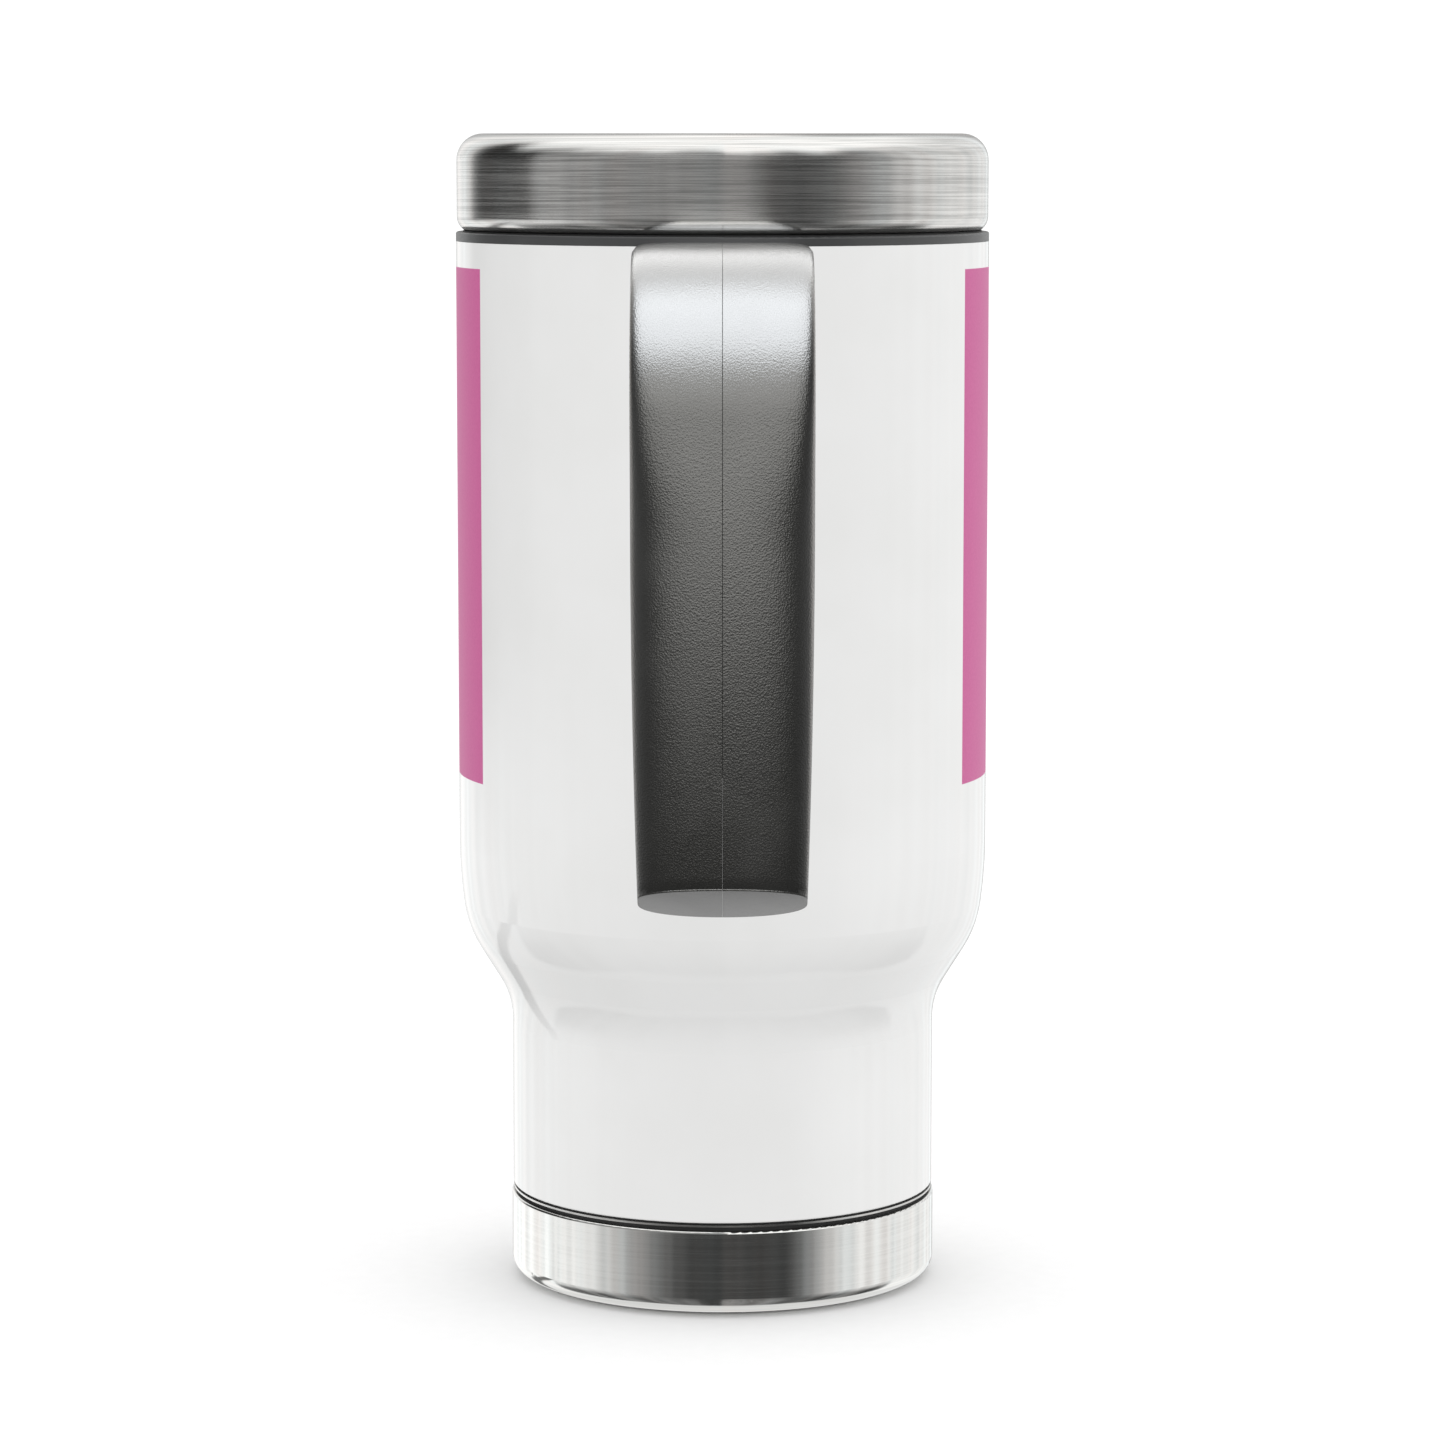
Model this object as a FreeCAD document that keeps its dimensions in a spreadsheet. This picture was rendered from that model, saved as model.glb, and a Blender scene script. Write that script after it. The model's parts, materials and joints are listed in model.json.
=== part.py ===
import FreeCAD, Part
import math
import os
import re
import Sketcher

# A double-walled steel travel mug with a press-in lid, a thumb slider over the drinking hole,
# and a black handle that hangs from the top of the wall and is open at its lower end.
# Millimetres. The origin is on the mug's axis where its foot pad stands, +Z is up,
# the handle is at -Y, and the drinking hole is at -X.

SIZES = {
    # outer wall
    "wide_radius": 40.3,
    "narrow_radius": 32.3,
    "shell_wall": 0.6,
    "shell_bottom": 14.4,
    "shell_top": 158.9,
    "shell_lip": 0.3,
    # shoulder between the wide and the narrow part, from its top down
    "shoulder_top": 67.8,
    "soft_radius": 70.0,
    "soft_angle": 8.0,
    "shoulder_radius": 17.0,
    "shoulder_angle": 32.0,
    "waist_radius": 13.0,
    # inner wall
    "vacuum_gap": 2.7,
    "liner_wall": 0.5,
    "liner_floor": 9.6,
    "liner_corner": 8.0,
    "rim_roll": 1.5,
    # closed lower end of the outer wall
    "skirt_radius": 30.9,
    "skirt_bottom": 3.0,
    "plate_wall": 0.8,
    "dimple_radius": 6.0,
    "dimple_rise": 2.4,
    "pump_hole_radius": 1.5,
    "seal_bead_radius": 4.0,
    "getter_radius": 7.0,
    "getter_thick": 1.5,
    # base cup and its ring
    "base_radius": 32.5,
    "base_wall": 0.6,
    "base_bottom": 0.5,
    "base_top": 13.2,
    "base_corner": 2.5,
    "base_lip": 0.35,
    "pad_radius": 28.6,
    "pad_thick": 1.3,
    "ring_radius": 31.8,
    "ring_low": 5.0,
    "bead_radius": 32.25,
    "bead_low": 13.8,
    "bead_high": 14.1,
    # collar under the lid
    "collar_inner": 36.9,
    "collar_top": 160.3,
    "collar_edge": 0.3,
    "seat_seal_inner": 37.4,
    "seat_seal_outer": 39.2,
    "seat_seal_top": 160.5,
    # handle, as reach from the axis and height
    "handle_half_width": 12.7,
    "handle_top": 159.5,
    "handle_reach": 79.0,
    "handle_bend": 22.0,
    "handle_thick": 10.0,
    "handle_bow": 350.0,
    "handle_outer_end": 11.0,
    "handle_inner_end": 12.3,
    "handle_root_low": 141.0,
    "handle_root_reach": 48.5,
    "handle_outer_edge": 2.2,
    "handle_inner_edge": 4.0,
    "handle_taper_radius": 1770.0,
    "handle_taper_top": 124.0,
    "seam_gap": 0.1,
    "shell_clearance": 0.05,
    # steel strap, saddle and rivets inside the handle
    "strap_depth": 5.0,
    "strap_thick": 2.0,
    "strap_half_width": 7.0,
    "strap_low": 144.0,
    "strap_bend": 3.0,
    "strap_end": 8.5,
    "strap_play": 0.1,
    "saddle_face": 42.8,
    "saddle_half_width": 10.0,
    "saddle_low": 143.0,
    "saddle_high": 157.0,
    "rivet_radius": 1.5,
    "rivet_head_radius": 2.75,
    "rivet_head_high": 1.2,
    "rivet_height": 147.75,
    "rivet_pitch": 8.2,
    "rivet_play": 0.05,
    # lid, with heights counted from the seat on the collar
    "lid_seat": 160.6,
    "lid_radius": 40.15,
    "lid_high": 14.4,
    "lid_top_round": 4.0,
    "lid_low_round": 2.4,
    "lid_foot_turn": 56.0,
    "cover_wall": 0.6,
    "cover_roll": 2.0,
    "recess_radius": 32.6,
    "recess_wall": 1.7,
    "recess_rim": 13.4,
    "recess_corner": 1.5,
    "rim_edge": 0.5,
    "deck_top": 5.4,
    "deck_thick": 2.4,
    "flange_radius": 38.1,
    "flange_thick": 2.2,
    "plug_radius": 35.4,
    "plug_inner": 32.4,
    "plug_deep": 12.4,
    "plug_chamfer": 1.0,
    "groove_high": 4.4,
    "groove_low": 8.4,
    "groove_deep": 1.2,
    "fin_radius": 36.35,
    "fin_thick": 0.8,
    "fin_pitch": 1.9,
    # openings in the deck
    "drink_centre": 24.5,
    "drink_across": 7.0,
    "drink_along": 15.0,
    "drink_corner": 3.0,
    "vent_centre": 29.2,
    "vent_radius": 1.1,
    "slot_half_length": 9.7,
    "slot_half_width": 2.5,
    "slot_corner": 1.2,
    "rail_half_length": 27.0,
    "rail_inner": 9.8,
    "rail_outer": 11.4,
    "rail_top": 8.0,
    # slider, closed
    "slide_far": 30.2,
    "slide_near": 12.0,
    "slide_half_width": 9.5,
    "slide_corner": 3.0,
    "slide_low": 5.6,
    "slide_high": 7.4,
    "grip_far": 9.0,
    "grip_near": 5.0,
    "grip_half_width": 7.0,
    "grip_top": 11.6,
    "grip_corner": 2.0,
    "grip_slot": 1.0,
    "grip_slot_deep": 1.2,
    "grip_slot_pitch": 2.6,
    "seal_far": 29.3,
    "seal_near": 19.7,
    "seal_half_width": 8.8,
    "seal_low": 5.45,
    "seal_high": 6.6,
    "seal_corner": 2.0,
    "stem_far": 9.5,
    "stem_near": 4.5,
    "stem_half_width": 2.4,
    "stem_corner": 1.2,
    "stem_low": 0.6,
    "stem_head_top": 1.4,
    "stem_head_lip": 0.7,
    "clip_far": 12.0,
    "clip_near": 2.0,
    "clip_half_width": 6.5,
    "clip_low": 1.5,
    "clip_high": 2.8,
    "clip_corner": 2.0,
    "clip_play": 0.05,
}

RIVET_COUNT = 2
GRIP_SLOT_COUNT = 3
FIN_COUNT = 2

doc = FreeCAD.newDocument("InsulatedTumbler")
sheet = doc.addObject("Spreadsheet::Sheet", "Sizes")
for row, (alias, size) in enumerate(SIZES.items(), start=1):
    sheet.set(f"A{row}", alias)
    sheet.set(f"B{row}", str(size))
    sheet.setAlias(f"B{row}", alias)
doc.recompute()

nodes = []


# Sizes as expressions of the sheet

def bound(text):
    """The expression with each size's name pointing at its cell."""
    return re.sub(r"[a-z_]{3,}", lambda word: "Sizes." + word[0] if word[0] in SIZES else word[0], text)


def number(text):
    """The expression's value."""
    return float(sheet.evalExpression(bound(text)))


def bind(thing, path, text):
    """Tie a property to an expression of the sheet."""
    thing.setExpression(path, bound(text))


# Sketches and features

def new_body(name):
    body = doc.addObject("PartDesign::Body", name)
    nodes.append(body)
    return body


def new_sketch(body, name, plane, offset="0"):
    """A sketch on one of the body's origin planes, moved along that plane's normal."""
    sketch = body.newObject("Sketcher::SketchObject", name)
    support = [each for each in body.Origin.OriginFeatures if each.Role == plane][0]
    sketch.AttachmentSupport = [(support, "")]
    sketch.MapMode = "FlatFace"
    sketch.AttachmentOffset = FreeCAD.Placement(FreeCAD.Vector(0, 0, number(offset)), FreeCAD.Rotation())
    if offset != "0":
        bind(sketch, "AttachmentOffset.Base.z", offset)
    return sketch


def pin_point(sketch, edge, end, across, up):
    """Fix a point of the sketch at two expressions."""
    for kind, text, axis in (("DistanceX", across, -2), ("DistanceY", up, -1)):
        value = number(text)
        if abs(value) < 1e-9:
            sketch.addConstraint(Sketcher.Constraint("PointOnObject", edge, end, axis))
        else:
            index = sketch.addConstraint(Sketcher.Constraint(kind, -1, 1, edge, end, value))
            bind(sketch, f"Constraints[{index}]", text)


def arc_edge(start, end, radius, turn):
    """The arc from start to end that turns left or right on the way, and its first and last point."""
    chord = end - start
    middle = (start + end) * 0.5
    left = FreeCAD.Vector(-chord.y, chord.x, 0).normalize()
    depth = math.sqrt(max(radius ** 2 - (chord.Length / 2) ** 2, 0))
    centre = middle + left * (depth if turn == "left" else -depth)
    circle = Part.Circle(centre, FreeCAD.Vector(0, 0, 1), radius)
    first, last = (start, end) if turn == "left" else (end, start)
    angles = [math.atan2(point.y - centre.y, point.x - centre.x) for point in (first, last)]
    if angles[1] < angles[0]:
        angles[1] += 2 * math.pi
    arc = Part.ArcOfCircle(circle, *angles)
    return arc, (1, 2) if turn == "left" else (2, 1)


def outline(sketch, corners):
    """Draw a closed outline through corners, given as (across, up) or (across, up, radius, turn).

    A corner with a radius is reached by an arc that turns left or right on its way there from
    the corner before; any other corner is reached by a straight edge.
    """
    points = [FreeCAD.Vector(number(corner[0]), number(corner[1]), 0) for corner in corners]
    edges = []
    for place, corner in enumerate(corners):
        start, end = points[place - 1], points[place]
        if len(corner) == 2:
            edge = sketch.addGeometry(Part.LineSegment(start, end))
            ends = (1, 2)
        else:
            arc, ends = arc_edge(start, end, number(corner[2]), corner[3])
            edge = sketch.addGeometry(arc)
            index = sketch.addConstraint(Sketcher.Constraint("Radius", edge, number(corner[2])))
            bind(sketch, f"Constraints[{index}]", corner[2])
        edges.append((edge, ends))
    for place, corner in enumerate(corners):
        edge, ends = edges[place]
        following, following_ends = edges[(place + 1) % len(edges)]
        sketch.addConstraint(Sketcher.Constraint("Coincident", edge, ends[1], following, following_ends[0]))
        pin_point(sketch, edge, ends[1], corner[0], corner[1])


def round_hole(sketch, across, up, radius):
    """Draw a circle."""
    centre = FreeCAD.Vector(number(across), number(up), 0)
    circle = sketch.addGeometry(Part.Circle(centre, FreeCAD.Vector(0, 0, 1), number(radius)))
    index = sketch.addConstraint(Sketcher.Constraint("Radius", circle, number(radius)))
    bind(sketch, f"Constraints[{index}]", radius)
    pin_point(sketch, circle, 3, across, up)


def rounded_box(low_x, high_x, half_y, corner):
    """Corners of a box in plan, centred on the X axis, with round corners."""
    return [
        (f"({high_x}) - {corner}", f"-({half_y})"),
        (high_x, f"-({half_y}) + {corner}", corner, "left"),
        (high_x, f"({half_y}) - {corner}"),
        (f"({high_x}) - {corner}", half_y, corner, "left"),
        (f"({low_x}) + {corner}", half_y),
        (low_x, f"({half_y}) - {corner}", corner, "left"),
        (low_x, f"-({half_y}) + {corner}"),
        (f"({low_x}) + {corner}", f"-({half_y})", corner, "left"),
    ]


def flipped(corners):
    """The outline mirrored across the vertical axis, for a shape drawn as reach from the mug's axis."""
    other = {"left": "right", "right": "left"}
    return [(f"-({corner[0]})", corner[1], *((corner[2], other[corner[3]]) if len(corner) == 4 else ()))
            for corner in corners]


def turned(name, corners):
    """A body turned about Z from its outline."""
    body = new_body(name)
    sketch = new_sketch(body, name + "_outline", "XZ_Plane")
    outline(sketch, corners)
    turn = body.newObject("PartDesign::Revolution", name + "_turn")
    turn.Profile = sketch
    turn.ReferenceAxis = (sketch, ["V_Axis"])
    turn.Angle = 360
    return body


def extrude(body, sketch, length, reverse=False, symmetric=False):
    """Pad a sketch."""
    pad = body.newObject("PartDesign::Pad", sketch.Name + "_pad")
    pad.Profile = sketch
    bind(pad, "Length", length)
    pad.Reversed = reverse
    if symmetric:
        pad.SideType = "Symmetric"
    return pad


def cut(body, sketch, length=None, reverse=False):
    """Pocket a sketch into the body, through everything unless a length is given."""
    doc.recompute()
    before = body.Shape.Volume
    pocket = body.newObject("PartDesign::Pocket", sketch.Name + "_cut")
    pocket.Profile = sketch
    if length is None:
        pocket.Type = "ThroughAll"
    else:
        bind(pocket, "Length", length)
    pocket.Reversed = reverse
    doc.recompute()
    if not body.Shape.Volume < before - 1e-3:
        raise RuntimeError(f"{pocket.Name} removes nothing")
    return pocket


def raise_lid_part(body):
    """Stand a lid part, drawn from its seat, on the collar."""
    bind(body, "Placement.Base.z", "lid_seat")


# Mug walls

def shoulder(inset):
    """Corners down the shoulder of a surface that lies inset inside the outer wall."""
    soft_x = "wide_radius - soft_radius"
    tight_x = f"{soft_x} + (soft_radius - shoulder_radius) * cos(soft_angle)"
    tight_z = "shoulder_top - (soft_radius - shoulder_radius) * sin(soft_angle)"
    cone_fall = (f"(({tight_x} + shoulder_radius * cos(shoulder_angle) - narrow_radius"
                 " - waist_radius * (1 - cos(shoulder_angle))) / tan(shoulder_angle))")
    waist_z = (f"{tight_z} - shoulder_radius * sin(shoulder_angle) - {cone_fall}"
               " - waist_radius * sin(shoulder_angle)")
    return [
        (f"wide_radius - {inset}", "shoulder_top"),
        (f"{soft_x} + (soft_radius - {inset}) * cos(soft_angle)",
         f"shoulder_top - (soft_radius - {inset}) * sin(soft_angle)",
         f"soft_radius - {inset}", "right"),
        (f"{tight_x} + (shoulder_radius - {inset}) * cos(shoulder_angle)",
         f"{tight_z} - (shoulder_radius - {inset}) * sin(shoulder_angle)",
         f"shoulder_radius - {inset}", "right"),
        (f"narrow_radius + waist_radius - (waist_radius + {inset}) * cos(shoulder_angle)",
         f"{waist_z} + (waist_radius + {inset}) * sin(shoulder_angle)"),
        (f"narrow_radius - {inset}", waist_z, f"waist_radius + {inset}", "left"),
    ]


def upwards(corners):
    """The same corners walked the other way: each arc moves to the corner that it now ends at."""
    other = {"left": "right", "right": "left"}
    walked = []
    for place in range(len(corners) - 1, -1, -1):
        arc = ()
        if place + 1 < len(corners) and len(corners[place + 1]) == 4:
            arc = (corners[place + 1][2], other[corners[place + 1][3]])
        walked.append((corners[place][0], corners[place][1], *arc))
    return walked


def make_outer_shell():
    turned("outer_shell", [
        ("wide_radius - shell_wall", "shell_top"),
        ("wide_radius", "shell_top"),
        *shoulder("0"),
        ("narrow_radius", "shell_bottom + shell_lip"),
        ("narrow_radius - shell_lip", "shell_bottom", "shell_lip", "right"),
        ("skirt_radius", "shell_bottom"),
        ("skirt_radius", "skirt_bottom"),
        ("skirt_radius - shell_wall", "skirt_bottom"),
        ("skirt_radius - shell_wall", "shell_bottom + shell_wall"),
        ("narrow_radius - shell_wall", "shell_bottom + shell_wall"),
        *upwards(shoulder("shell_wall")),
    ])


def make_inner_liner():
    outer = "(shell_wall + vacuum_gap)"
    inner = f"({outer} + liner_wall)"
    turned("inner_liner", [
        ("0", "liner_floor"),
        ("0", "liner_floor - liner_wall"),
        (f"narrow_radius - {inner} - liner_corner", "liner_floor - liner_wall"),
        (f"narrow_radius - {outer}", "liner_floor + liner_corner", "liner_corner + liner_wall", "left"),
        *upwards(shoulder(outer)),
        (f"wide_radius - {outer}", "shell_top - rim_roll"),
        (f"wide_radius - {inner} + rim_roll", "shell_top - liner_wall", "rim_roll - liner_wall", "right"),
        ("wide_radius - shell_wall", "shell_top - liner_wall"),
        ("wide_radius - shell_wall", "shell_top"),
        (f"wide_radius - {inner} + rim_roll", "shell_top"),
        (f"wide_radius - {inner}", "shell_top - rim_roll", "rim_roll", "left"),
        *shoulder(inner),
        (f"narrow_radius - {inner}", "liner_floor + liner_corner"),
        (f"narrow_radius - {inner} - liner_corner", "liner_floor", "liner_corner", "right"),
    ])


def make_outer_bottom():
    turned("outer_bottom", [
        ("pump_hole_radius", "skirt_bottom + dimple_rise"),
        ("dimple_radius", "skirt_bottom + dimple_rise"),
        ("dimple_radius + dimple_rise", "skirt_bottom"),
        ("skirt_radius - shell_wall", "skirt_bottom"),
        ("skirt_radius - shell_wall", "skirt_bottom + plate_wall"),
        ("dimple_radius + dimple_rise", "skirt_bottom + plate_wall"),
        ("dimple_radius", "skirt_bottom + dimple_rise + plate_wall"),
        ("pump_hole_radius", "skirt_bottom + dimple_rise + plate_wall"),
    ])


def make_vacuum_seal():
    turned("vacuum_seal", [
        ("0", "skirt_bottom + dimple_rise - plate_wall"),
        ("seal_bead_radius", "skirt_bottom + dimple_rise - plate_wall"),
        ("seal_bead_radius", "skirt_bottom + dimple_rise"),
        ("pump_hole_radius", "skirt_bottom + dimple_rise"),
        ("pump_hole_radius", "skirt_bottom + dimple_rise + plate_wall"),
        ("0", "skirt_bottom + dimple_rise + plate_wall"),
    ])


def make_getter():
    turned("getter", [
        ("0", "liner_floor - liner_wall - getter_thick"),
        ("getter_radius", "liner_floor - liner_wall - getter_thick"),
        ("getter_radius", "liner_floor - liner_wall"),
        ("0", "liner_floor - liner_wall"),
    ])


# Foot

def make_base_cup():
    turned("base_cup", [
        ("0", "pad_thick"),
        ("pad_radius", "pad_thick"),
        ("pad_radius + pad_thick - base_bottom", "base_bottom"),
        ("base_radius - base_corner", "base_bottom"),
        ("base_radius", "base_bottom + base_corner", "base_corner", "left"),
        ("base_radius", "base_top - base_lip"),
        ("base_radius - base_lip", "base_top", "base_lip", "left"),
        ("base_radius - base_wall", "base_top"),
        ("base_radius - base_wall", "base_bottom + base_corner"),
        ("base_radius - base_corner", "base_bottom + base_wall", "base_corner - base_wall", "right"),
        ("pad_radius + pad_thick - base_bottom", "base_bottom + base_wall"),
        ("pad_radius", "pad_thick + base_wall"),
        ("0", "pad_thick + base_wall"),
    ])


def make_foot_pad():
    turned("foot_pad", [
        ("0", "0"),
        ("pad_radius - base_bottom", "0"),
        ("pad_radius", "base_bottom"),
        ("pad_radius", "pad_thick"),
        ("0", "pad_thick"),
    ])


def make_base_seal_ring():
    turned("base_seal_ring", [
        ("skirt_radius", "ring_low"),
        ("base_radius - base_wall", "ring_low"),
        ("base_radius - base_wall", "base_top"),
        ("ring_radius", "base_top"),
        ("ring_radius", "shell_bottom"),
        ("skirt_radius", "shell_bottom"),
    ])


def make_base_trim_ring():
    turned("base_trim_ring", [
        ("ring_radius", "bead_low"),
        ("bead_radius", "bead_low"),
        ("bead_radius", "bead_high"),
        ("ring_radius", "bead_high"),
    ])


# Collar under the lid

def make_collar():
    turned("collar", [
        ("collar_inner", "shell_top"),
        ("wide_radius", "shell_top"),
        ("wide_radius", "collar_top - collar_edge"),
        ("wide_radius - collar_edge", "collar_top", "collar_edge", "left"),
        ("collar_inner + collar_edge", "collar_top"),
        ("collar_inner", "collar_top - collar_edge", "collar_edge", "left"),
    ])


def make_collar_seal():
    turned("collar_seal", [
        ("seat_seal_inner", "collar_top"),
        ("seat_seal_outer", "collar_top"),
        ("seat_seal_outer", "seat_seal_top"),
        ("seat_seal_inner", "seat_seal_top"),
    ])


# Handle: outlines are drawn as reach from the mug's axis and height

BEND_REACH = "(handle_reach - handle_bend)"
BEND_HEIGHT = "(handle_top - handle_bend)"
BOW_REACH = "(handle_reach - handle_bow)"


def bow_point(depth, angle):
    """A point of the grip's long bow, depth inside its outer face, angle below the bend."""
    return (f"{BOW_REACH} + (handle_bow - {depth}) * cos({angle})",
            f"{BEND_HEIGHT} - (handle_bow - {depth}) * sin({angle})")


def handle_outline():
    gusset = "(handle_top - handle_thick - handle_root_low)"
    return [
        ("wide_radius - shell_wall", "handle_root_low"),
        ("wide_radius - shell_wall", "handle_top"),
        (BEND_REACH, "handle_top"),
        ("handle_reach", BEND_HEIGHT, "handle_bend", "right"),
        (*bow_point("0", "handle_outer_end"), "handle_bow", "right"),
        bow_point("handle_thick", "handle_inner_end"),
        ("handle_reach - handle_thick", BEND_HEIGHT, "handle_bow - handle_thick", "left"),
        (BEND_REACH, "handle_top - handle_thick", "handle_bend - handle_thick", "left"),
        ("handle_root_reach", "handle_root_low", gusset, "left"),
    ]


def strap_outline(play):
    """The bent strap, grown all round by play."""
    near = f"(strap_depth - strap_thick / 2 - {play})"
    far = f"(strap_depth + strap_thick / 2 + {play})"
    tab = f"(saddle_face - {play})"
    tab_outside = f"(saddle_face + strap_thick + {play})"
    fold = "(handle_top - strap_depth - strap_bend)"
    return [
        (tab, f"strap_low - {play}"),
        (tab, fold),
        ("saddle_face + strap_thick / 2 + strap_bend", f"handle_top - {near}",
         f"strap_bend + strap_thick / 2 + {play}", "right"),
        (BEND_REACH, f"handle_top - {near}"),
        (f"handle_reach - {near}", BEND_HEIGHT, f"handle_bend - {near}", "right"),
        (*bow_point(near, "strap_end"), f"handle_bow - {near}", "right"),
        bow_point(far, "strap_end"),
        (f"handle_reach - {far}", BEND_HEIGHT, f"handle_bow - {far}", "left"),
        (BEND_REACH, f"handle_top - {far}", f"handle_bend - {far}", "left"),
        ("saddle_face + strap_thick / 2 + strap_bend", f"handle_top - {far}"),
        (tab_outside, fold, f"strap_bend - strap_thick / 2 - {play}", "left"),
        (tab_outside, f"strap_low - {play}"),
    ]


def grip_depth(point):
    """How far a point lies inside the grip's outer face."""
    reach, height = -point.y - number(BEND_REACH), point.z - number(BEND_HEIGHT)
    if height < 0:
        return number("handle_bow") - math.hypot(-point.y - number(BOW_REACH), height)
    if reach > 0:
        return number("handle_bend") - math.hypot(reach, height)
    return number("handle_top") - point.z


def long_edges(shape, side, face):
    """Names of the edges that run along the grip's outer or inner face, on one side of the mug."""
    depth = number("handle_thick") if face == "inner" else 0
    names = []
    for index, edge in enumerate(shape.Edges, start=1):
        span = edge.LastParameter - edge.FirstParameter
        points = [edge.valueAt(edge.FirstParameter + part * span) for part in (0, 0.5, 1)]
        on_side = all(point.x * side > number("handle_half_width * 0.9") for point in points)
        on_face = all(abs(grip_depth(point) - depth) < number("seam_gap") for point in points)
        if on_side and on_face and abs(points[0].x - points[2].x) < edge.Length / 2:
            names.append(f"Edge{index}")
    return names


def make_handle_half(name, side):
    """One moulded half, hollowed for the strap, the saddle and the rivet heads."""
    back = side < 0
    body = new_body(name)
    profile = new_sketch(body, name + "_profile", "YZ_Plane", f"{side} * seam_gap / 2")
    outline(profile, flipped(handle_outline()))
    extrude(body, profile, "handle_half_width - seam_gap / 2", reverse=back)

    taper = new_sketch(body, name + "_taper", "XZ_Plane")
    low = "handle_root_low - handle_bow / 4"
    narrowing = f"handle_taper_radius - sqrt(handle_taper_radius ^ 2 - (handle_taper_top - ({low})) ^ 2)"
    corners = [
        ("handle_half_width", "handle_taper_top"),
        (f"handle_half_width - ({narrowing})", low, "handle_taper_radius", "right"),
        ("handle_half_width * 2", low),
        ("handle_half_width * 2", "handle_taper_top"),
    ]
    outline(taper, corners if side > 0 else flipped(corners))
    cut(body, taper, reverse=True)

    for face, radius in (("outer", "handle_outer_edge"), ("inner", "handle_inner_edge")):
        doc.recompute()
        plain = body.Tip
        rounding = body.newObject("PartDesign::Fillet", f"{name}_{face}_round")
        rounding.Base = (plain, long_edges(plain.Shape, side, face))
        bind(rounding, "Radius", radius)

    wall = new_sketch(body, name + "_wall", "XY_Plane", "handle_root_low - handle_thick")
    round_hole(wall, "0", "0", "wide_radius + shell_clearance")
    cut(body, wall, "handle_bow", reverse=True)

    strap = new_sketch(body, name + "_strap_slot", "YZ_Plane")
    outline(strap, flipped(strap_outline("strap_play")))
    cut(body, strap, "strap_half_width + strap_play", reverse=not back)

    root = new_sketch(body, name + "_root_hollow", "YZ_Plane")
    outline(root, flipped([
        ("wide_radius - shell_wall", "saddle_low - strap_play"),
        ("wide_radius - shell_wall", "saddle_high + strap_play"),
        ("saddle_face + strap_play", "saddle_high + strap_play"),
        ("saddle_face + strap_play", "rivet_height + rivet_head_radius + strap_play"),
        ("saddle_face + strap_thick + rivet_head_high + strap_play",
         "rivet_height + rivet_head_radius + strap_play"),
        ("saddle_face + strap_thick + rivet_head_high + strap_play", "saddle_low - strap_play"),
    ]))
    cut(body, root, "saddle_half_width + strap_play", reverse=not back)


def make_handle_core():
    body = new_body("handle_core")
    profile = new_sketch(body, "handle_core_profile", "YZ_Plane")
    outline(profile, flipped(strap_outline("0")))
    extrude(body, profile, "strap_half_width * 2", symmetric=True)
    drill_rivet_holes(body)


def make_handle_saddle():
    """The block between the round wall and the strap's flat tab."""
    body = new_body("handle_saddle")
    plan = new_sketch(body, "handle_saddle_plan", "XY_Plane", "saddle_low")
    side = "sqrt(wide_radius ^ 2 - saddle_half_width ^ 2)"
    outline(plan, [
        ("-saddle_half_width", f"-{side}", "wide_radius", "right"),
        ("-saddle_half_width", "-saddle_face"),
        ("saddle_half_width", "-saddle_face"),
        ("saddle_half_width", f"-{side}"),
    ])
    extrude(body, plan, "saddle_high - saddle_low")
    drill_rivet_holes(body)


def rivet_across(count):
    """Where each rivet stands across the strap."""
    return f"{count - (RIVET_COUNT - 1) / 2} * rivet_pitch"


def drill_rivet_holes(body):
    holes = new_sketch(body, body.Name + "_holes", "XZ_Plane")
    for count in range(RIVET_COUNT):
        round_hole(holes, rivet_across(count), "rivet_height", "rivet_radius + rivet_play")
    cut(body, holes, reverse=True)


def make_handle_rivets():
    """Rivets from the saddle out through the strap, each a shank with a tapered head."""
    rivets = []
    for count in range(RIVET_COUNT):
        shank = doc.addObject("Part::Cylinder", f"rivet_shank_{count + 1}")
        bind(shank, "Radius", "rivet_radius")
        bind(shank, "Height", "saddle_face + strap_thick - wide_radius - shell_lip")
        head = doc.addObject("Part::Cone", f"rivet_head_{count + 1}")
        bind(head, "Radius1", "rivet_head_radius")
        bind(head, "Radius2", "rivet_radius")
        bind(head, "Height", "rivet_head_high")
        for piece, start in ((shank, "wide_radius + shell_lip"), (head, "saddle_face + strap_thick")):
            piece.Placement.Rotation = FreeCAD.Rotation(FreeCAD.Vector(1, 0, 0), 90)
            bind(piece, "Placement.Base.x", rivet_across(count))
            bind(piece, "Placement.Base.y", f"-({start})")
            bind(piece, "Placement.Base.z", "rivet_height")
        rivet = doc.addObject("Part::MultiFuse", f"rivet_{count + 1}")
        rivet.Shapes = [shank, head]
        rivets.append(rivet)
    group = doc.addObject("Part::Compound", "handle_rivets")
    group.Links = rivets
    nodes.append(group)


# Lid

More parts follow.
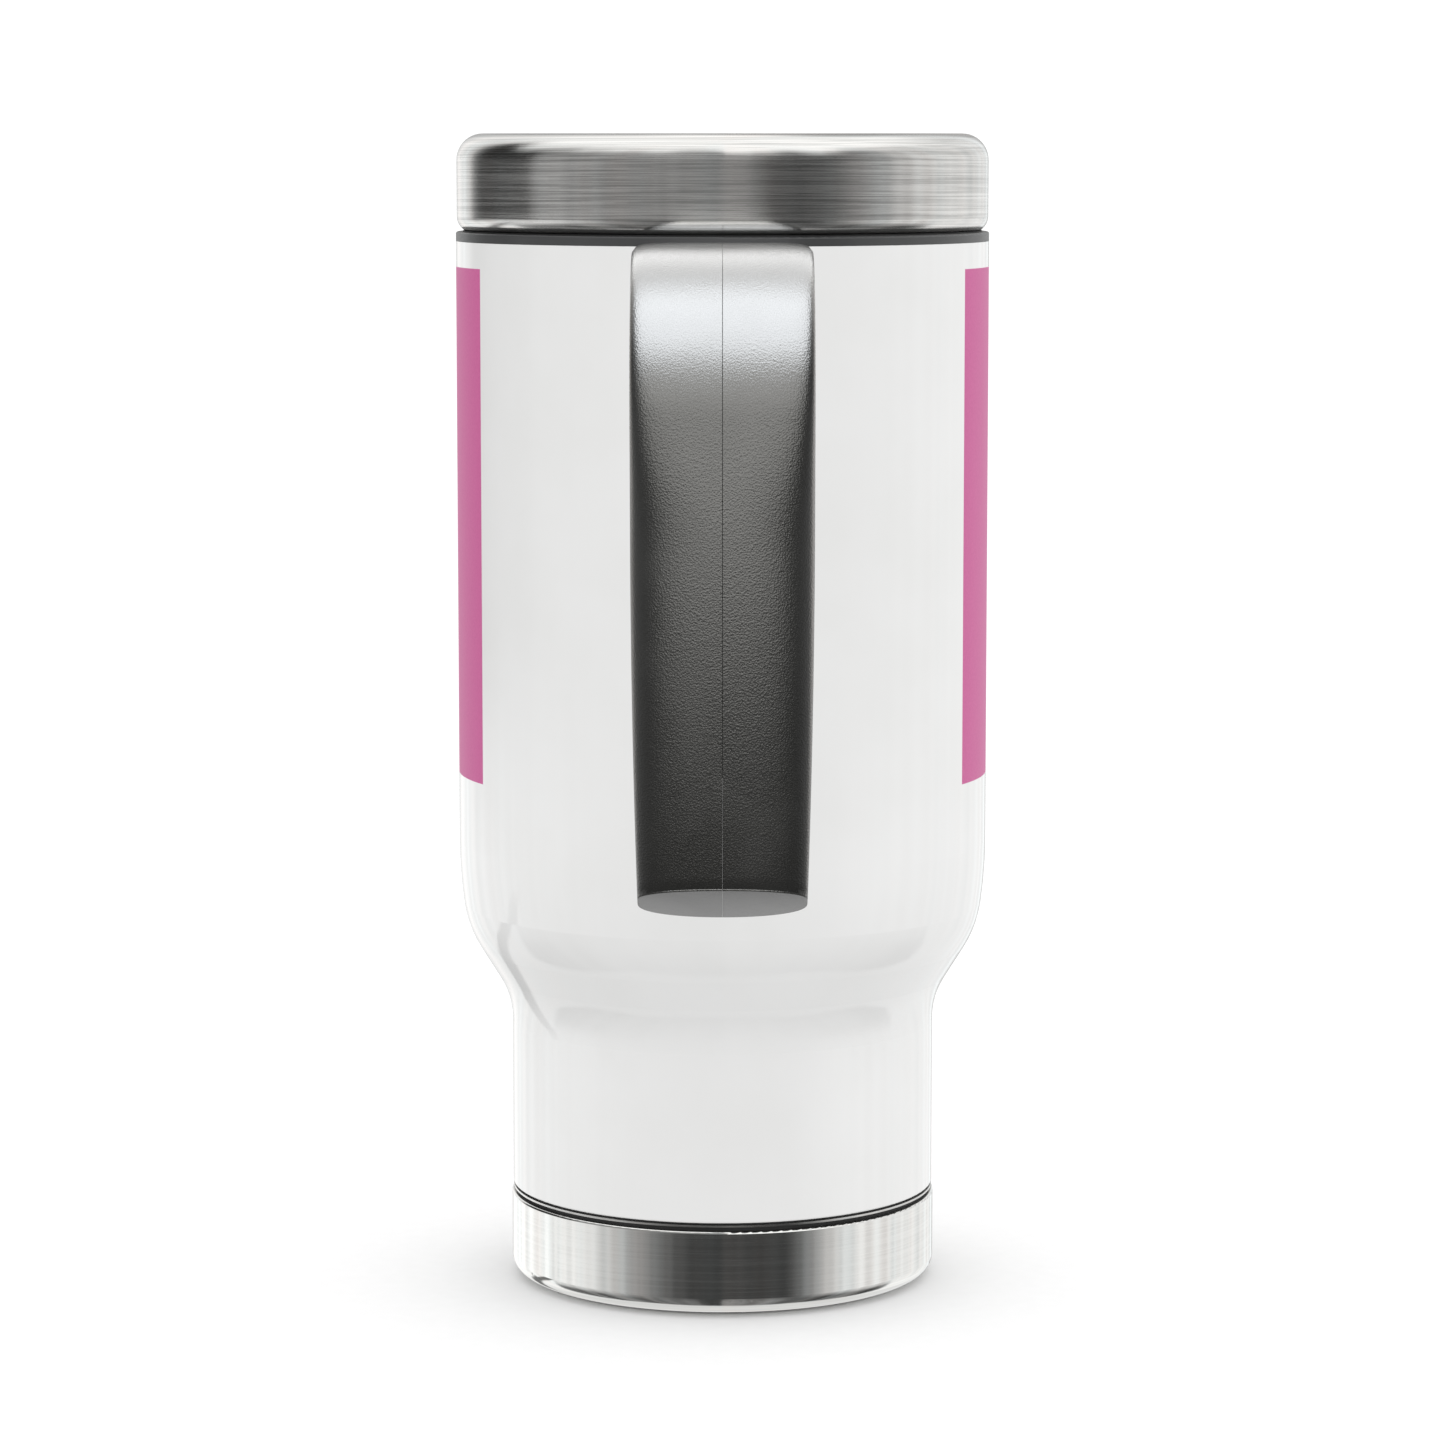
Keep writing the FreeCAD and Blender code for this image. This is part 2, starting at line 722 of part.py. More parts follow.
def make_lid_cover():
    """The steel skin: curled in at its foot, rolled over at its top."""
    lip = "(recess_radius + recess_wall + seam_gap)"
    round_top = "lid_low_round * sin(lid_foot_turn)"
    raise_lid_part(turned("lid_cover", [
        ("lid_radius - lid_low_round * (1 - cos(lid_foot_turn))", "0"),
        ("lid_radius", round_top, "lid_low_round", "left"),
        ("lid_radius", "lid_high - lid_top_round"),
        ("lid_radius - lid_top_round", "lid_high", "lid_top_round", "left"),
        (f"{lip} + cover_wall", "lid_high"),
        (lip, "lid_high - cover_wall", "cover_wall", "left"),
        (lip, "lid_high - cover_roll"),
        (f"{lip} + cover_wall", "lid_high - cover_roll"),
        (f"{lip} + cover_wall", "lid_high - cover_wall"),
        ("lid_radius - lid_top_round", "lid_high - cover_wall"),
        ("lid_radius - cover_wall", "lid_high - lid_top_round", "lid_top_round - cover_wall", "right"),
        ("lid_radius - cover_wall", round_top),
        ("lid_radius - lid_low_round + (lid_low_round - cover_wall) * cos(lid_foot_turn)",
         "cover_wall * sin(lid_foot_turn)", "lid_low_round - cover_wall", "right"),
    ]))


def make_lid_body():
    body = turned("lid_body", [
        ("0", "deck_top"),
        ("recess_radius - recess_corner", "deck_top"),
        ("recess_radius", "deck_top + recess_corner", "recess_corner", "left"),
        ("recess_radius", "recess_rim - rim_edge"),
        ("recess_radius + rim_edge", "recess_rim", "rim_edge", "right"),
        ("recess_radius + recess_wall", "recess_rim"),
        ("recess_radius + recess_wall", "flange_thick"),
        ("flange_radius", "flange_thick"),
        ("flange_radius", "0"),
        ("plug_radius", "0"),
        ("plug_radius", "-groove_high"),
        ("plug_radius - groove_deep", "-groove_high"),
        ("plug_radius - groove_deep", "-groove_low"),
        ("plug_radius", "-groove_low"),
        ("plug_radius", "plug_chamfer - plug_deep"),
        ("plug_radius - plug_chamfer", "-plug_deep"),
        ("plug_inner", "-plug_deep"),
        ("plug_inner", "deck_top - deck_thick"),
        ("0", "deck_top - deck_thick"),
    ])
    rails = new_sketch(body, "lid_rails", "XY_Plane", "deck_top")
    for inner, outer in (("rail_inner", "rail_outer"), ("-rail_outer", "-rail_inner")):
        outline(rails, [
            ("-rail_half_length", inner),
            ("rail_half_length", inner),
            ("rail_half_length", outer),
            ("-rail_half_length", outer),
        ])
    extrude(body, rails, "rail_top - deck_top")
    openings = new_sketch(body, "lid_openings", "XY_Plane", "deck_top")
    outline(openings, rounded_box("-drink_centre - drink_across / 2", "drink_across / 2 - drink_centre",
                                  "drink_along / 2", "drink_corner"))
    outline(openings, rounded_box("-slot_half_length", "slot_half_length", "slot_half_width", "slot_corner"))
    round_hole(openings, "vent_centre", "0", "vent_radius")
    cut(body, openings)
    raise_lid_part(body)


def make_lid_gasket():
    """A ring in the plug's groove with two fins that wipe the inner wall."""
    fins = []
    for count in range(FIN_COUNT):
        foot = f"fin_thick / 2 - groove_low + {count} * fin_pitch"
        fins += [
            ("plug_radius", foot),
            ("fin_radius", f"{foot} + fin_thick / 2"),
            ("fin_radius", f"{foot} + fin_thick"),
            ("plug_radius", f"{foot} + fin_thick * 1.5"),
        ]
    raise_lid_part(turned("lid_gasket", [
        ("plug_radius - groove_deep", "-groove_low"),
        ("plug_radius", "-groove_low"),
        *fins,
        ("plug_radius", "-groove_high"),
        ("plug_radius - groove_deep", "-groove_high"),
    ]))


# Slider

SEAL_PLAN = rounded_box("-seal_far", "-seal_near", "seal_half_width", "seal_corner")


def stem_plan(margin):
    """The stem's outline, grown all round by margin."""
    return rounded_box(f"-stem_far - {margin}", f"{margin} - stem_near", f"stem_half_width + {margin}",
                       f"(stem_corner + {margin})")


def make_slider():
    body = new_body("slider")
    plate = new_sketch(body, "slider_plate", "XY_Plane", "slide_low")
    outline(plate, rounded_box("-slide_far", "slide_near", "slide_half_width", "slide_corner"))
    extrude(body, plate, "slide_high - slide_low")
    grip = new_sketch(body, "slider_grip", "XY_Plane", "slide_high")
    outline(grip, rounded_box("-grip_far", "grip_near", "grip_half_width", "grip_corner"))
    extrude(body, grip, "grip_top - slide_high")
    for name, top, margin in (("stem", "slide_low", "0"), ("head", "stem_head_top", "stem_head_lip")):
        stem = new_sketch(body, "slider_" + name, "XY_Plane", top)
        outline(stem, stem_plan(margin))
        extrude(body, stem, f"{top} - stem_low", reverse=True)
    for count in range(GRIP_SLOT_COUNT):
        centre = f"(grip_near - grip_far) / 2 + {count - (GRIP_SLOT_COUNT - 1) / 2} * grip_slot_pitch"
        slot = new_sketch(body, f"slider_grip_slot_{count + 1}", "XY_Plane", "grip_top")
        outline(slot, [
            (f"{centre} - grip_slot / 2", "-grip_half_width"),
            (f"{centre} + grip_slot / 2", "-grip_half_width"),
            (f"{centre} + grip_slot / 2", "grip_half_width"),
            (f"{centre} - grip_slot / 2", "grip_half_width"),
        ])
        cut(body, slot, "grip_slot_deep")
    seat = new_sketch(body, "slider_seal_seat", "XY_Plane", "slide_low")
    outline(seat, SEAL_PLAN)
    cut(body, seat, "seal_high - slide_low", reverse=True)
    raise_lid_part(body)


def make_slider_seal():
    body = new_body("slider_seal")
    plan = new_sketch(body, "slider_seal_plan", "XY_Plane", "seal_low")
    outline(plan, SEAL_PLAN)
    extrude(body, plan, "seal_high - seal_low")
    raise_lid_part(body)


def make_slider_retainer():
    body = new_body("slider_retainer")
    plan = new_sketch(body, "slider_retainer_plan", "XY_Plane", "clip_low")
    outline(plan, rounded_box("-clip_far", "-clip_near", "clip_half_width", "clip_corner"))
    outline(plan, stem_plan("clip_play"))
    extrude(body, plan, "clip_high - clip_low")
    raise_lid_part(body)


def check(thing):
    """Stop if the document failed to build an object."""
    if any(state in ("Invalid", "Error") for state in thing.State):
        raise RuntimeError(f"{thing.Label}: {thing.State} {thing.getStatusString()}")


for make in (make_outer_shell, make_inner_liner, make_outer_bottom, make_vacuum_seal, make_getter,
             make_base_cup, make_foot_pad, make_base_seal_ring, make_base_trim_ring,
             make_collar, make_collar_seal):
    make()
make_handle_half("handle_right", 1)
make_handle_half("handle_left", -1)
make_handle_core()
make_handle_saddle()
make_handle_rivets()
make_lid_cover()
make_lid_body()
make_lid_gasket()
make_slider()
make_slider_seal()
make_slider_retainer()
doc.recompute()

for thing in doc.Objects:
    check(thing)
os.makedirs("parts", exist_ok=True)
for node in nodes:
    shape = node.Shape
    if shape.isNull() or not shape.isValid():
        raise RuntimeError(f"{node.Label} has no valid shape")
    shape.exportStep(f"parts/{node.Label}.step")
    print(f"{node.Label}: {len(shape.Solids)} solid(s), {shape.Volume / 1000:.2f} cm3")
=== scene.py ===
import json
import math

import bmesh
import bpy
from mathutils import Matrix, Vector

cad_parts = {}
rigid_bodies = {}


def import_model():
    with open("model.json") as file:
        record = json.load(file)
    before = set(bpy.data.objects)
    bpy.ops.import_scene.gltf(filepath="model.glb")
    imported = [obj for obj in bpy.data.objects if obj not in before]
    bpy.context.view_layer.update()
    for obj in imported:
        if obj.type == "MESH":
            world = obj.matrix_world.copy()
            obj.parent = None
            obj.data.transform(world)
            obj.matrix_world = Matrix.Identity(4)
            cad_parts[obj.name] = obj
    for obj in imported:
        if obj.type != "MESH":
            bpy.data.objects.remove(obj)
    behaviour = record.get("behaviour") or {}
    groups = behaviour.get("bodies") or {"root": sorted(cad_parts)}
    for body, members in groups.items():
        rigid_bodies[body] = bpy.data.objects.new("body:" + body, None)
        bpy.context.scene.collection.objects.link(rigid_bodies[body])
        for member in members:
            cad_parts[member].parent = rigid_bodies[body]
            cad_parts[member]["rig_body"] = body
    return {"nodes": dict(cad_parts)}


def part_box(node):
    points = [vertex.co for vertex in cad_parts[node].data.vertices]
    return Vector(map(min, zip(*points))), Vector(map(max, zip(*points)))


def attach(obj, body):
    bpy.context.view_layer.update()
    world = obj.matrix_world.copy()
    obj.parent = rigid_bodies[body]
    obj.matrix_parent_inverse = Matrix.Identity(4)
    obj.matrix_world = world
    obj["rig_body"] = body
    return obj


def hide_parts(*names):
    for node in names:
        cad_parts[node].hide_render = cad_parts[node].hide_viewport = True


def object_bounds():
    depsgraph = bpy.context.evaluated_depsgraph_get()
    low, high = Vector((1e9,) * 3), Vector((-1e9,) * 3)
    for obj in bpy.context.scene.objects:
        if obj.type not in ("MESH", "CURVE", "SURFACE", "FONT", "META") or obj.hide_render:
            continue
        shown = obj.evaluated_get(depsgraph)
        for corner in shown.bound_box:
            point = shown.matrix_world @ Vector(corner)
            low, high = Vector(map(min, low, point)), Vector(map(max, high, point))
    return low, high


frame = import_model()
CAD_LOW, CAD_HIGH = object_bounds()
NODES = frame["nodes"]
MM = 0.001

# The handle. Its outline lies in the plane of reach from the mug's axis and height.

_, SHELL_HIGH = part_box("outer_shell")
HANDLE_LOW, HANDLE_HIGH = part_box("handle_right")
WALL_CLEARANCE = 0.05 * MM
WALL_RADIUS = SHELL_HIGH.x + WALL_CLEARANCE
HANDLE_TOP = HANDLE_HIGH.z
HANDLE_REACH = -HANDLE_LOW.y
HANDLE_HALF_WIDTH = HANDLE_HIGH.x
HANDLE_THICK = 10 * MM
BEND_RADIUS = 22 * MM
BOW_RADIUS = 350 * MM
OUTER_END, INNER_END = math.radians(11), math.radians(12.3)
ROOT_LOW = 141 * MM
ROOT_REACH = 48.5 * MM
ROOT_CORNER = 3 * MM
TAPER_RADIUS = 1770 * MM
TAPER_TOP = 124 * MM
SEAM = 0.004 * MM
SEAM_CHAMFER = 0.045 * MM
END_ROUND = 0.22 * MM

# How far each face is crowned, and the power of the superellipse that it follows: 2 is an ellipse, and a high
# power is a flat face with rounded corners. The root's section becomes the bend's between two reaches, and
# the bend's becomes the arm's between two drops from the top.

OUTER_CROWN_BEND, OUTER_POWER_BEND = 2.0 * MM, 5.5
OUTER_CROWN_ARM, OUTER_POWER_ARM = 4.0 * MM, 2.2
INNER_CROWN_ROOT, INNER_POWER_ROOT = 1.6 * MM, 7.0
INNER_CROWN_BEND, INNER_POWER_BEND = 3.4 * MM, 4.0
INNER_CROWN_ARM, INNER_POWER_ARM = 5.9 * MM, 2.1
BEND_REACHES = (ROOT_REACH - 1 * MM, ROOT_REACH + 9 * MM)
ARM_DROPS = (6 * MM, 42 * MM)

ROOT_STEPS, CORNER_STEPS, GUSSET_STEPS = 6, 10, 14
BEND_STEPS, ARM_STEPS, END_STEPS, FACE_STEPS = 32, 64, 5, 30


# Shader building

class Shader:
    """The node tree of a material or a world, built by adding nodes and linking their sockets."""

    def __init__(self, owner):
        self.tree = owner.node_tree
        self.tree.nodes.clear()

    def add(self, kind, inputs=None, output=0, **settings):
        """Add a node. Its inputs, by socket name or number, are values or other nodes' outputs."""
        node = self.tree.nodes.new(kind)
        for setting, value in settings.items():
            setattr(node, setting, value)
        for socket, value in (inputs or {}).items():
            if isinstance(value, bpy.types.NodeSocket):
                self.tree.links.new(value, node.inputs[socket])
            else:
                node.inputs[socket].default_value = value
        return node.outputs[output]

    def math(self, operation, *terms):
        return self.add("ShaderNodeMath", dict(enumerate(terms)), operation=operation)

    def plus(self, total, *terms):
        for term in terms:
            total = self.math("ADD", total, term)
        return total

    def times(self, product, *factors):
        for factor in factors:
            product = self.math("MULTIPLY", product, factor)
        return product

    def span(self, value, low, high, to_low=0.0, to_high=1.0):
        """Map a range smoothly onto another, with its ends held."""
        ends = dict(enumerate((value, low, high, to_low, to_high)))
        return self.add("ShaderNodeMapRange", ends, interpolation_type="SMOOTHSTEP")

    def mix(self, factor, low, high):
        return self.add("ShaderNodeMix", {0: factor, 2: low, 3: high}, data_type="FLOAT")

    def blend(self, factor, low, high):
        """Mix two colours."""
        return self.add("ShaderNodeMix", {0: factor, 6: low, 7: high}, output=2, data_type="RGBA")

    def parts(self, vector):
        """A vector's three parts."""
        node = self.add("ShaderNodeSeparateXYZ", {0: vector}).node
        return node.outputs[0], node.outputs[1], node.outputs[2]

    def point(self):
        """The place on the object, in metres in its own axes."""
        return self.add("ShaderNodeTexCoord", output=3)

    def facing(self):
        """The direction that the surface faces, in the object's own axes."""
        return self.add("ShaderNodeTexCoord", output=1)

    def radius(self, x, y):
        """The distance from the Z axis."""
        return self.math("SQRT", self.plus(self.times(x, x), self.times(y, y)))

    def noise(self, scale, detail=2.0, vector=None):
        """Noise with its grain so many times a metre."""
        inputs = {"Vector": vector or self.point(), "Scale": scale, "Detail": detail}
        return self.add("ShaderNodeTexNoise", inputs)

    def rings(self, fineness, length):
        """Noise drawn out round the Z axis: lines so many a metre across, each about this long."""
        point = self.point()
        x, y, z = self.parts(point)
        across = self.add("ShaderNodeCombineXYZ", {0: self.times(self.radius(x, y), fineness),
                                                   1: self.times(z, fineness)})
        along = self.add("ShaderNodeVectorMath", {0: point, 3: 1 / length}, operation="SCALE")
        vector = self.add("ShaderNodeVectorMath", {0: across, 1: along}, operation="ADD")
        return self.noise(1.0, 3.0, vector)

    def bump(self, height, distance, below=None):
        inputs = {"Height": height, "Distance": distance}
        if below is not None:
            inputs["Normal"] = below
        return self.add("ShaderNodeBump", inputs)

    def surface(self, **inputs):
        """The material's shader, its sockets named with _ for a space."""
        named = {name.replace("_", " "): value for name, value in inputs.items()}
        self.finish("ShaderNodeOutputMaterial", self.add("ShaderNodeBsdfPrincipled", named))

    def finish(self, kind, shader):
        """Add the tree's output node."""
        target = self.tree.nodes.new(kind)
        self.tree.links.new(shader, target.inputs["Surface"])


def new_material(name):
    material = bpy.data.materials.new(name)
    material.use_nodes = True
    return material, Shader(material)


# Materials

WHITE = (0.825, 0.825, 0.82, 1)
WHITE_WORN = (0.805, 0.805, 0.797, 1)
PEEL_DEPTH = 0.006 * MM
PINK = (0.585, 0.100, 0.305, 1)
PINK_DEEP = (0.555, 0.086, 0.283, 1)
PRINT_LOW, PRINT_HIGH = 78.3 * MM, 155.1 * MM
PRINT_ANGLE = math.radians(62.8)
PRINT_EDGE = 0.06 * MM
PRINT_THICK = 0.02 * MM
PRINT_ROUGHNESS = 0.5

LINE_LENGTH, SCRATCH_LENGTH = 14 * MM, 45 * MM
LINE_SHARE, SCRATCH_SHARE = 0.6, 0.4
SCRATCH_FINENESS = 0.35
STREAK_ROUGHNESS, SMEAR_ROUGHNESS = 0.03, 0.015

BLACK = (0.0048, 0.0046, 0.0034, 1)
BLACK_RUBBED = (0.0064, 0.0061, 0.0046, 1)
# A lighter grey painted on the handle's downward-facing open end: a painted reflection, not the plastic's own
# colour.
PAINTED_END_REFLECTION = (0.135, 0.135, 0.135, 1)
GRAIN_SCALE, PORE_SCALE = 3700, 6000
GRAIN_SHARE, PORE_SHARE = 0.7, 0.35
GRAIN_DEPTH, CUT_DEPTH = 0.036 * MM, 0.006 * MM
CUT_ROUGHNESS = 0.27
CUT_HEIGHTS = (ROOT_LOW - 10 * MM, ROOT_LOW - 20 * MM)

MILK = (0.78, 0.79, 0.78, 1)
MILK_DEEP = (0.70, 0.71, 0.70, 1)


def make_white_coat():
    """Gloss powder coat over steel, with a printed panel that wraps the side away from the handle."""
    material, shader = new_material("white_coat")
    x, y, z = shader.parts(shader.point())
    side = shader.times(shader.radius(x, y), -math.cos(PRINT_ANGLE))
    past_side = shader.math("SUBTRACT", y, side)
    panel = shader.times(shader.span(past_side, -PRINT_EDGE, PRINT_EDGE),
                         shader.span(z, PRINT_LOW - PRINT_EDGE, PRINT_LOW + PRINT_EDGE),
                         shader.span(z, PRINT_HIGH + PRINT_EDGE, PRINT_HIGH - PRINT_EDGE))
    cloud = shader.span(shader.noise(55, 4), 0.35, 0.7)
    speck = shader.span(shader.noise(2600, 2), 0.3, 0.75)
    white = shader.blend(cloud, WHITE, WHITE_WORN)
    pink = shader.blend(speck, PINK, PINK_DEEP)
    coat_roughness = shader.span(shader.noise(700, 3), 0.3, 0.7, 0.05, 0.09)
    peel = shader.bump(shader.noise(300, 1), PEEL_DEPTH)
    shader.surface(Base_Color=shader.blend(panel, white, pink),
                   Roughness=shader.mix(panel, coat_roughness, PRINT_ROUGHNESS),
                   Normal=shader.bump(panel, PRINT_THICK, peel))
    return material


def make_steel(name, colour, deep, rough, fineness, relief, anisotropy):
    """Steel brushed round the Z axis, with fine lines and a few longer scratches."""
    material, shader = new_material(name)
    lines = shader.rings(fineness, LINE_LENGTH)
    scratches = shader.rings(fineness * SCRATCH_FINENESS, SCRATCH_LENGTH)
    streaks = shader.plus(shader.times(lines, LINE_SHARE), shader.times(scratches, SCRATCH_SHARE))
    tone = shader.blend(shader.span(streaks, 0.35, 0.62), deep, colour)
    brushed = shader.span(streaks, 0.3, 0.7, rough - STREAK_ROUGHNESS, rough + STREAK_ROUGHNESS)
    smeared = shader.span(shader.noise(60, 4), 0.3, 0.7, -SMEAR_ROUGHNESS, SMEAR_ROUGHNESS)
    tangent = shader.add("ShaderNodeTangent", direction_type="RADIAL", axis="Z")
    shader.surface(Base_Color=tone, Metallic=1.0, Roughness=shader.plus(brushed, smeared),
                   Anisotropic=anisotropy, Anisotropic_Rotation=0.25, Tangent=tangent,
                   Normal=shader.bump(streaks, relief))
    return material


def make_handle_plastic():
    """Satin black moulding with a fine leather grain. Its cut end is smoother, and a painted reflection makes
    it a little lighter.
    """
    material, shader = new_material("handle_plastic")
    cells = {"Vector": shader.point(), "Scale": GRAIN_SCALE, "Randomness": 1.0}
    grain = shader.add("ShaderNodeTexVoronoi", cells, feature="F1")
    pores = shader.noise(PORE_SCALE, 2)
    height = shader.plus(shader.times(grain, GRAIN_SHARE), shader.times(pores, PORE_SHARE))
    _, _, up = shader.parts(shader.facing())
    _, _, z = shader.parts(shader.point())
    # The open end, facing down, is painted a lighter grey as a painted reflection. Its smoother roughness and
    # finer bump are real.
    end_face_with_painted_reflection = shader.times(shader.span(up, -0.75, -0.85), shader.span(z, *CUT_HEIGHTS))
    rubbed = shader.span(shader.noise(80, 4), 0.35, 0.7)
    tone = shader.blend(end_face_with_painted_reflection, shader.blend(rubbed, BLACK, BLACK_RUBBED), PAINTED_END_REFLECTION)
    roughness = shader.plus(shader.span(rubbed, 0, 1, 0.31, 0.35), shader.span(pores, 0.3, 0.7, -0.02, 0.02))
    shader.surface(Base_Color=tone, Roughness=shader.mix(end_face_with_painted_reflection, roughness, CUT_ROUGHNESS),
                   Specular_IOR_Level=0.65,
                   Normal=shader.bump(height, shader.mix(end_face_with_painted_reflection, GRAIN_DEPTH, CUT_DEPTH)))
    return material


def make_plastic(name, colour, shift, rough, grain, relief):
    """Moulded plastic or rubber with a spark-etched texture, clouded towards its colour times the shift."""
    material, shader = new_material(name)
    etch = shader.noise(grain, 3)
    cloud = shader.span(shader.noise(90, 4), 0.35, 0.7)
    other = (*(channel * shift for channel in colour[:3]), 1)
    roughness = shader.plus(shader.span(cloud, 0, 1, rough, rough + 0.06),
                            shader.span(etch, 0.3, 0.7, -0.03, 0.03))
    shader.surface(Base_Color=shader.blend(cloud, colour, other), Roughness=roughness,
                   Normal=shader.bump(etch, relief))
    return material


def make_silicone():
    """Milky silicone."""
    material, shader = new_material("clear_silicone")
    cloud = shader.span(shader.noise(300, 3), 0.3, 0.7)
    shader.surface(Base_Color=shader.blend(cloud, MILK, MILK_DEEP),
                   Roughness=shader.span(cloud, 0, 1, 0.38, 0.5), IOR=1.41, Transmission_Weight=0.35,
                   Normal=shader.bump(shader.noise(2500, 2), 0.01 * MM))
    return material


MATERIALS = {
    "white_coat": make_white_coat(),
    "brushed_steel": make_steel("brushed_steel", colour=(0.70, 0.69, 0.675, 1), deep=(0.42, 0.415, 0.405, 1),
                                rough=0.20, fineness=5200, relief=0.0030 * MM, anisotropy=0.8),
    "polished_steel": make_steel("polished_steel", colour=(0.72, 0.715, 0.70, 1), deep=(0.67, 0.665, 0.65, 1),
                                 rough=0.11, fineness=4200, relief=0.0005 * MM, anisotropy=0.5),
    "plain_steel": make_steel("plain_steel", colour=(0.62, 0.61, 0.60, 1), deep=(0.55, 0.54, 0.53, 1),
                              rough=0.34, fineness=2400, relief=0.0015 * MM, anisotropy=0.4),
    "handle_plastic": make_handle_plastic(),
    "black_plastic": make_plastic("black_plastic", colour=(0.046, 0.047, 0.048, 1), shift=1.2, rough=0.36,
                                  grain=3600, relief=0.012 * MM),
    "slider_plastic": make_plastic("slider_plastic", colour=(0.050, 0.050, 0.054, 1), shift=1.2, rough=0.42,
                                   grain=3200, relief=0.015 * MM),
    "black_rubber": make_plastic("black_rubber", colour=(0.022, 0.022, 0.022, 1), shift=1.5, rough=0.72,
                                 grain=2600, relief=0.03 * MM),
    "clear_silicone": make_silicone(),
}
for node in NODES.values():
    finish = node.material_slots[0]
    finish.material = MATERIALS[finish.material.name.split(".")[0]]


# Pieces

SMOOTH_BELOW = math.radians(32)
FLAT_BELOW = math.radians(1)
HARD_ABOVE = math.radians(40)
WELD_DISTANCE = 0.002 * MM


def add_piece(name, shape, slot, *nodes):
    """Make a piece from a bmesh. It stands for these CAD nodes and rides on their body."""
    mesh = bpy.data.meshes.new(name)
    shape.to_mesh(mesh)
    shape.free()
    if "custom_normal" in mesh.attributes:
        mesh.attributes.remove(mesh.attributes["custom_normal"])
    mesh.materials.clear()
    mesh.materials.append(MATERIALS[slot])
    mesh.shade_smooth()
    mesh.set_sharp_from_angle(angle=SMOOTH_BELOW)
    piece = bpy.data.objects.new(name, mesh)
    bpy.context.scene.collection.objects.link(piece)
    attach(piece, NODES[nodes[0]]["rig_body"])
    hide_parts(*nodes)
    return piece


def soften(node, slot, width):
    """A copy of a CAD node with its hard edges rounded."""
    shape = bmesh.new()
    shape.from_mesh(NODES[node].data)
    bmesh.ops.remove_doubles(shape, verts=shape.verts, dist=WELD_DISTANCE)
    bmesh.ops.dissolve_limit(shape, angle_limit=FLAT_BELOW, verts=shape.verts, edges=shape.edges)
    hard = [edge for edge in shape.edges if edge.is_manifold and edge.calc_face_angle() > HARD_ABOVE]
    bmesh.ops.bevel(shape, geom=hard, offset=width, segments=3, profile=0.5, affect="EDGES",
                    clamp_overlap=True)
    bmesh.ops.recalc_face_normals(shape, faces=shape.faces)
    return add_piece(node + "_moulded", shape, slot, node)


# Handle

def ramp(value, low, high):
    """0 to 1 smoothly as value goes from low to high."""
    share = min(max((value - low) / (high - low), 0), 1)
    return share * share * (3 - 2 * share)


def between(low, high, share):
    return low + (high - low) * share


def shares(steps):
    """Even shares from 0 to 1."""
    return [step / steps for step in range(steps + 1)]


def arc(centre, radius, start, end, steps):
    """Points at even steps along an arc from one angle to another."""
    angles = [between(start, end, share) for share in shares(steps)]
    return [centre + Vector((math.cos(angle), math.sin(angle))) * radius for angle in angles]


def handle_stations():
    """Pairs of points of the outer and the inner face, as (reach, height), from the wall to the open end."""
    bend = Vector((HANDLE_REACH - BEND_RADIUS, HANDLE_TOP - BEND_RADIUS))
    bow = Vector((HANDLE_REACH - BOW_RADIUS, bend.y))
    gusset = bend.x - ROOT_REACH
    corner = bend.x - math.sqrt((gusset + ROOT_CORNER) ** 2 - ROOT_CORNER ** 2)
    meet = math.asin(ROOT_CORNER / (gusset + ROOT_CORNER))
    underside = [Vector((between(WALL_RADIUS, corner, share), ROOT_LOW)) for share in shares(ROOT_STEPS)[:-1]]
    underside += arc(Vector((corner, ROOT_LOW + ROOT_CORNER)), ROOT_CORNER, -math.pi / 2, -meet,
                     CORNER_STEPS)[:-1]
    underside += arc(Vector((bend.x, ROOT_LOW)), gusset, math.pi - meet, math.pi / 2, GUSSET_STEPS)[:-1]
    stations = [(Vector((point.x, HANDLE_TOP)), point) for point in underside]
    stations += list(zip(arc(bend, BEND_RADIUS, math.pi / 2, 0, BEND_STEPS),
                         arc(bend, BEND_RADIUS - HANDLE_THICK, math.pi / 2, 0, BEND_STEPS)))[:-1]
    stations += list(zip(arc(bow, BOW_RADIUS, 0, -OUTER_END, ARM_STEPS),
                         arc(bow, BOW_RADIUS - HANDLE_THICK, 0, -INNER_END, ARM_STEPS)))
    return stations


def rounded_end(outer, inner):
    """The last stations, as (outer, inner, inset), where the section draws in to round the open end."""
    out = (outer - inner).normalized()
    down = Vector((out.y, -out.x))
    stations = []
    for share in shares(END_STEPS):
        angle = share * math.pi / 2
        back = down * (END_ROUND * (1 - math.sin(angle)))
        stations.append((outer - back, inner - back, END_ROUND * (1 - math.cos(angle))))
    return stations


def crowned_face(half_width, crown, power, inset):
    """Points (across, depth) from the seam over a crowned face to its edge, along a quarter superellipse."""
    points = [(SEAM, SEAM_CHAMFER + inset)]
    width = half_width - inset - SEAM - SEAM_CHAMFER
    for share in shares(FACE_STEPS):
        angle = share * math.pi / 2
        across = SEAM + SEAM_CHAMFER + width * math.sin(angle) ** (2 / power)
        points.append((across, inset + (crown - inset) * (1 - max(math.cos(angle), 0) ** (2 / power))))
    return points


